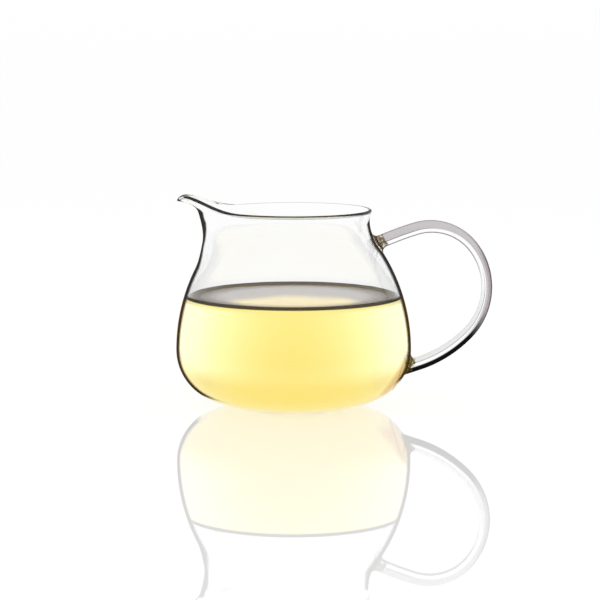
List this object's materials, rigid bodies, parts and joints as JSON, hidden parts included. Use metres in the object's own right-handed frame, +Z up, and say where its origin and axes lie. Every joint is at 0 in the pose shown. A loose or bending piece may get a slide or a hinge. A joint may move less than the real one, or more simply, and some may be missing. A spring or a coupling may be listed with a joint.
{
  "type": "tea fairness pitcher",
  "caption": "Clear blown-glass fairness pitcher with a round belly, drawn spout and bent rod handle, about half full of pale tea.",
  "frame": {"origin": "on the pitcher's axis, on the plane that its flat foot stands on", "axes": "+Z up along the pitcher's axis, +X towards the handle, -X towards the spout, +Y to the left seen from the handle's side"},
  "size_m": [0.1274, 0.0946, 0.0846],
  "materials": {
    "clear_glass": "clear, colourless, fire-polished borosilicate glass",
    "pale_tea": "clear pale yellow liquid, still and glossy"
  },
  "bodies": {
    "root": {"pitcher": "clear_glass", "tea": "pale_tea"}
  },
  "joints": []
}
